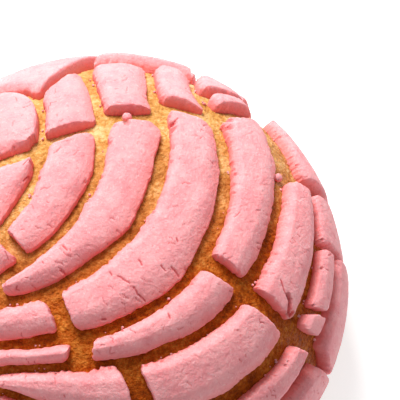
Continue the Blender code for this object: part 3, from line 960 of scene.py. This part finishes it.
def newMaterial(name, surface):
    material = bpy.data.materials.new(name)
    material.use_nodes = True
    shader = material.node_tree.nodes["Principled BSDF"]
    for key, value in surface.items():
        shader.inputs[key].default_value = value
    return material, material.node_tree, shader


def rampNode(tree, stops, factor):
    made = node(tree, "ShaderNodeValToRGB")
    elements = made.color_ramp.elements
    while len(elements) < len(stops):
        elements.new(0.5)
    for element, (place, colour) in zip(elements, stops):
        element.position = place
        element.color = colour
    tree.links.new(factor, made.inputs[0])
    return made.outputs[0]


def mixColour(tree, factor, a, b):
    made = node(tree, "ShaderNodeMix", data_type="RGBA")
    tree.links.new(factor, made.inputs[0])
    for socket, value in ((made.inputs[6], a), (made.inputs[7], b)):
        if hasattr(value, "is_output"):
            tree.links.new(value, socket)
        else:
            socket.default_value = value
    return made.outputs[2]


def noiseOut(tree, coordinates, scale, detail, roughness):
    made = node(tree, "ShaderNodeTexNoise", {"Scale": scale, "Detail": detail, "Roughness": roughness})
    tree.links.new(coordinates, made.inputs["Vector"])
    return made


def addBumps(tree, coordinates, bumps, shader):
    last = None
    for noise, strength, distance in bumps:
        bump = node(tree, "ShaderNodeBump", {"Strength": strength, "Distance": distance})
        tree.links.new(noiseOut(tree, coordinates, *noise).outputs[0], bump.inputs["Height"])
        if last:
            tree.links.new(last, bump.inputs["Normal"])
        last = bump.outputs[0]
    tree.links.new(last, shader.inputs["Normal"])


def attributeOut(tree, name):
    return node(tree, "ShaderNodeAttribute", attribute_name=name).outputs["Fac"]


def spread(tree, value, low, high):
    made = node(tree, "ShaderNodeMapRange", {"From Min": low, "From Max": high})
    tree.links.new(value, made.inputs["Value"])
    return made.outputs[0]


def sugarPaste():
    material, tree, shader = newMaterial("sugarPaste", pasteFinish["surface"])
    objectPlace = node(tree, "ShaderNodeTexCoord").outputs["Object"]
    stops = [(pasteFinish[f"{shade}At"], pasteFinish[shade]) for shade in ("rosy", "pale")]
    colour = rampNode(tree, stops, noiseOut(tree, objectPlace, *pasteFinish["blotch"]).outputs[0])
    for source, low, high, strength, shade in pasteFinish["layers"]:
        if isinstance(source, str):
            value = attributeOut(tree, source)
        else:
            value = noiseOut(tree, objectPlace, *source).outputs[0]
        amount = mathNode(tree, "MULTIPLY", spread(tree, value, low, high), strength)
        colour = mixColour(tree, amount, colour, pasteFinish[shade])
    link(tree, (colour, shader.inputs["Base Color"]))
    addBumps(tree, objectPlace, pasteFinish["bumps"], shader)
    return material


def bakedCrust():
    material, tree, shader = newMaterial("bakedCrust", crustFinish["surface"])
    objectPlace = node(tree, "ShaderNodeTexCoord").outputs["Object"]
    patch = noiseOut(tree, objectPlace, *crustFinish["patch"])
    fleck = noiseOut(tree, objectPlace, *crustFinish["fleck"])
    patchPart = mathNode(tree, "MULTIPLY", patch.outputs[0], crustFinish["patchShare"])
    fleckPart = mathNode(tree, "MULTIPLY", fleck.outputs[0], crustFinish["fleckShare"])
    # painted shade: hollows of the relief turn the crust browner
    reliefPart = mathNode(tree, "MULTIPLY", attributeOut(tree, "relief"), crustFinish["reliefShare"])
    mixed = mathNode(tree, "ADD", mathNode(tree, "ADD", patchPart, fleckPart), reliefPart)
    back, front = (rampNode(tree, list(zip(crustFinish["stops"], crustFinish[side])), mixed)
                   for side in ("back", "front"))
    parts = node(tree, "ShaderNodeSeparateXYZ")
    link(tree, (objectPlace, parts.inputs[0]))
    # back to front and left to right, from the paler to the darker crust: partly the crust's own tone, partly
    # painted light, sheen and shade
    waver = mathNode(tree, "MULTIPLY", swingOf(tree, patch), crustFinish["waver"])
    across = mathNode(tree, "MULTIPLY", parts.outputs["X"], crustFinish["darkSkew"])
    along = mathNode(tree, "SUBTRACT", mathNode(tree, "ADD", parts.outputs["Y"], waver), across)
    dark = spread(tree, along, crustFinish["paleFrom"], crustFinish["darkFrom"])
    link(tree, (mixColour(tree, dark, back, front), shader.inputs["Base Color"]))
    addBumps(tree, objectPlace, crustFinish["bumps"], shader)
    return material


# Camera, floor and light
viewpoint = {
    "aim": (0.0, 0.0, 0.020),
    "elevation": 65.0,
    "distance": 0.5,
    "right": 0.02153,
    "up": 0.01784,
    "lens": 198.2,
    "sensor": 36.0,
    "clip": (0.01, 20.0),
}
studio = {
    "floorHalf": 3.0,  # half its side, in metres
    "floor": {
        "Base Color": (0.5, 0.5, 0.5, 1), "Roughness": 0.9,
        "Emission Color": (1, 1, 1, 1), "Emission Strength": 0.7,
    },
    "windowPlace": (-0.22, 0.60, 0.77),
    "windowAim": (0, 0, 0.03),
    "windowSize": 0.40,
    "windowPower": 15.3,
    "windowTint": (1.0, 0.98, 0.96),
    "skyStrength": 0.38,
}


def makeCamera():
    data = bpy.data.cameras.new("photoCamera")
    data.lens, data.sensor_width = viewpoint["lens"], viewpoint["sensor"]
    data.clip_start, data.clip_end = viewpoint["clip"]
    camera = addObject("photoCamera", data)
    e = math.radians(viewpoint["elevation"])
    right, up = np.array((1, 0, 0)), np.array((0, math.sin(e), math.cos(e)))
    back = np.array((0, -math.cos(e), math.sin(e)))
    aside = right * viewpoint["right"] + up * viewpoint["up"]
    camera.location = np.array(viewpoint["aim"]) + aside + back * viewpoint["distance"]
    camera.rotation_euler = (math.pi / 2 - e, 0, 0)
    bpy.context.scene.camera = camera


def makeStage():
    half = studio["floorHalf"]
    data = bpy.data.meshes.new("paleFloor")
    corners = [(-half, -half, 0), (half, -half, 0), (half, half, 0), (-half, half, 0)]
    data.from_pydata(corners, [], [(0, 1, 2, 3)])
    data.materials.append(newMaterial("paleFloor", studio["floor"])[0])
    floor = addObject("paleFloor", data)
    light = bpy.data.lights.new("window", "AREA")
    light.energy, light.size, light.color = studio["windowPower"], studio["windowSize"], studio["windowTint"]
    window = addObject("window", light)
    window.location = studio["windowPlace"]
    away = np.array(studio["windowPlace"]) - np.array(studio["windowAim"])
    tilt, turn = math.atan2(math.hypot(away[0], away[1]), away[2]), math.atan2(away[1], away[0])
    window.rotation_euler = (tilt, 0, turn + math.pi / 2)
    world = bpy.data.worlds.new("studio")
    world.use_nodes = True
    world.node_tree.nodes["Background"].inputs["Color"].default_value = (1, 1, 1, 1)
    world.node_tree.nodes["Background"].inputs["Strength"].default_value = studio["skyStrength"]
    bpy.context.scene.world = world
    bpy.context.scene.view_settings.view_transform = "Standard"


def claim(piece, slot, *nodes):
    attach(piece, "root")
    if nodes:
        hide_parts(*nodes)


makeCamera()
makeStage()
print("camera and stage made")
paste, crust = sugarPaste(), bakedCrust()
relief = reliefTree(pasteRelief)
claim(makeBread(relief, crust), "bread_crust", "bread")
print("bread made")
nearSides = []
for index, (name, near, far) in enumerate(tileSides()):
    tile = makeTile(name, near, far, relief, paste, index)
    claim(tile, "sugar_paste", f"paste_{name}")
    nearSides.append(near)
print(f"{len(nearSides)} tiles of paste made")
claim(makeCrumbs(nearSides, paste), "sugar_paste")
print("crumbs made")
